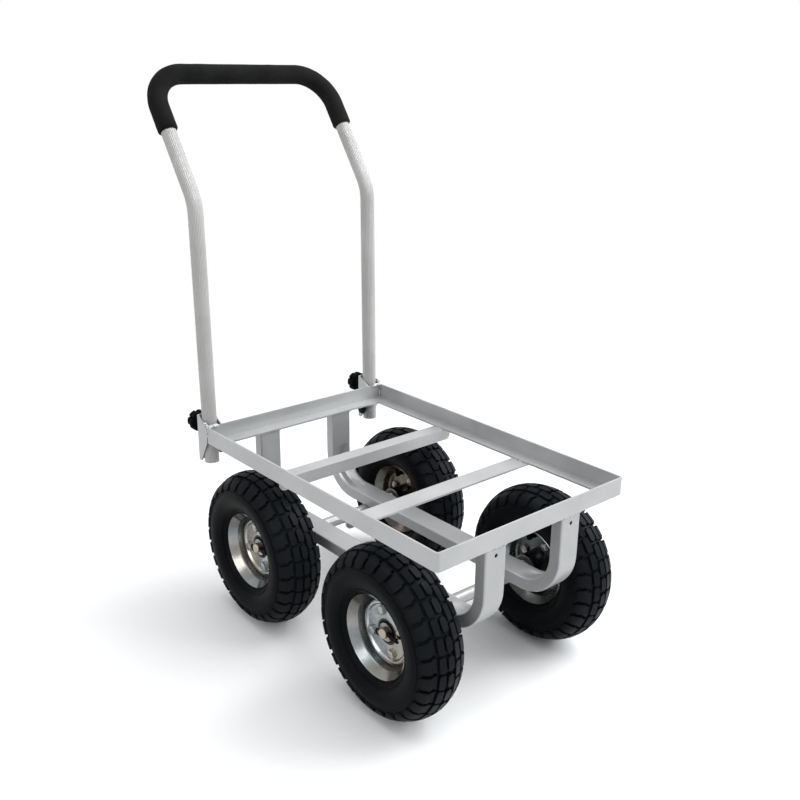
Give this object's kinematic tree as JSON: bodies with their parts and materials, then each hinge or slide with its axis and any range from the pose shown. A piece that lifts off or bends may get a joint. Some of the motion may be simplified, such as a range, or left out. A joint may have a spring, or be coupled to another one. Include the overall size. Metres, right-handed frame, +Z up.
{
  "type": "harvest cart",
  "caption": "Open-deck metal harvest cart on pneumatic block-tread wheels, with a cranked foam-gripped push handle clamped in rear pockets by star knobs.",
  "frame": {"origin": "on the ground under the middle of the whole cart, grip and front tyres included", "axes": "+Z up, +Y towards the handle end, +X to the right hand of someone facing the cart from its front end"},
  "size_m": [0.404, 0.7488, 0.8925],
  "materials": {
    "frame_aluminium": "satin silver",
    "axle_steel": "plain turned steel",
    "zinc_fasteners": "bright zinc plated",
    "black_steel": "black oxide",
    "grip_foam": "matt black foam",
    "knob_plastic": "matt black moulded",
    "tyre_rubber": "dark grey rubber",
    "tube_rubber": "plain black rubber",
    "rim_steel": "bright zinc plated pressed sheet",
    "bearing_steel": "ground steel with dark seals"
  },
  "bodies": {
    "chassis": {"deck_frame": "frame_aluminium", "front_cross_bar": "frame_aluminium", "rear_cross_bar": "frame_aluminium", "left_u_frame": "frame_aluminium", "right_u_frame": "frame_aluminium", "front_axle_sleeve": "frame_aluminium", "rear_axle_sleeve": "frame_aluminium", "front_axle_rod": "axle_steel", "rear_axle_rod": "axle_steel", "axle_washers": "zinc_fasteners", "cotter_pins": "black_steel", "left_bracket": "frame_aluminium", "right_bracket": "frame_aluminium", "weld_nuts": "zinc_fasteners", "set_screws": "black_steel"},
    "handle": {"handle_tube": "frame_aluminium", "foam_grip": "grip_foam"},
    "left_clamp": {"left_star_knob": "knob_plastic", "left_clamp_stud": "zinc_fasteners"},
    "right_clamp": {"right_star_knob": "knob_plastic", "right_clamp_stud": "zinc_fasteners"},
    "front_left_wheel": {"front_left_tyre": "tyre_rubber", "front_left_inner_tube": "tube_rubber", "front_left_outer_rim": "rim_steel", "front_left_inner_rim": "rim_steel", "front_left_hub": "rim_steel", "front_left_bearings": "bearing_steel", "front_left_rim_bolts": "zinc_fasteners"},
    "front_right_wheel": {"front_right_tyre": "tyre_rubber", "front_right_inner_tube": "tube_rubber", "front_right_outer_rim": "rim_steel", "front_right_inner_rim": "rim_steel", "front_right_hub": "rim_steel", "front_right_bearings": "bearing_steel", "front_right_rim_bolts": "zinc_fasteners"},
    "rear_left_wheel": {"rear_left_tyre": "tyre_rubber", "rear_left_inner_tube": "tube_rubber", "rear_left_outer_rim": "rim_steel", "rear_left_inner_rim": "rim_steel", "rear_left_hub": "rim_steel", "rear_left_bearings": "bearing_steel", "rear_left_rim_bolts": "zinc_fasteners"},
    "rear_right_wheel": {"rear_right_tyre": "tyre_rubber", "rear_right_inner_tube": "tube_rubber", "rear_right_outer_rim": "rim_steel", "rear_right_inner_rim": "rim_steel", "rear_right_hub": "rim_steel", "rear_right_bearings": "bearing_steel", "rear_right_rim_bolts": "zinc_fasteners"}
  },
  "joints": [
    {"name": "front_left_roll", "type": "hinge", "parent": "chassis", "child": "front_left_wheel", "pos_m": [-0.161, -0.24444, 0.13], "axis": [1, 0, 0], "continuous": true},
    {"name": "front_right_roll", "type": "hinge", "parent": "chassis", "child": "front_right_wheel", "pos_m": [0.161, -0.24444, 0.13], "axis": [1, 0, 0], "continuous": true},
    {"name": "rear_left_roll", "type": "hinge", "parent": "chassis", "child": "rear_left_wheel", "pos_m": [-0.161, 0.08656, 0.13], "axis": [1, 0, 0], "continuous": true},
    {"name": "rear_right_roll", "type": "hinge", "parent": "chassis", "child": "rear_right_wheel", "pos_m": [0.161, 0.08656, 0.13], "axis": [1, 0, 0], "continuous": true},
    {"name": "handle_lift", "type": "slide", "parent": "chassis", "child": "handle", "axis": [0, 0.0192, 0.9998], "range_m": [0, 0.085]},
    {"name": "left_clamp_turn", "type": "hinge", "parent": "chassis", "child": "left_clamp", "pos_m": [-0.1745, 0.2476, 0.309], "axis": [0, 1, 0], "range_deg": [0, 720]},
    {"name": "right_clamp_turn", "type": "hinge", "parent": "chassis", "child": "right_clamp", "pos_m": [0.1745, 0.2476, 0.309], "axis": [0, 1, 0], "range_deg": [0, 720]}
  ]
}
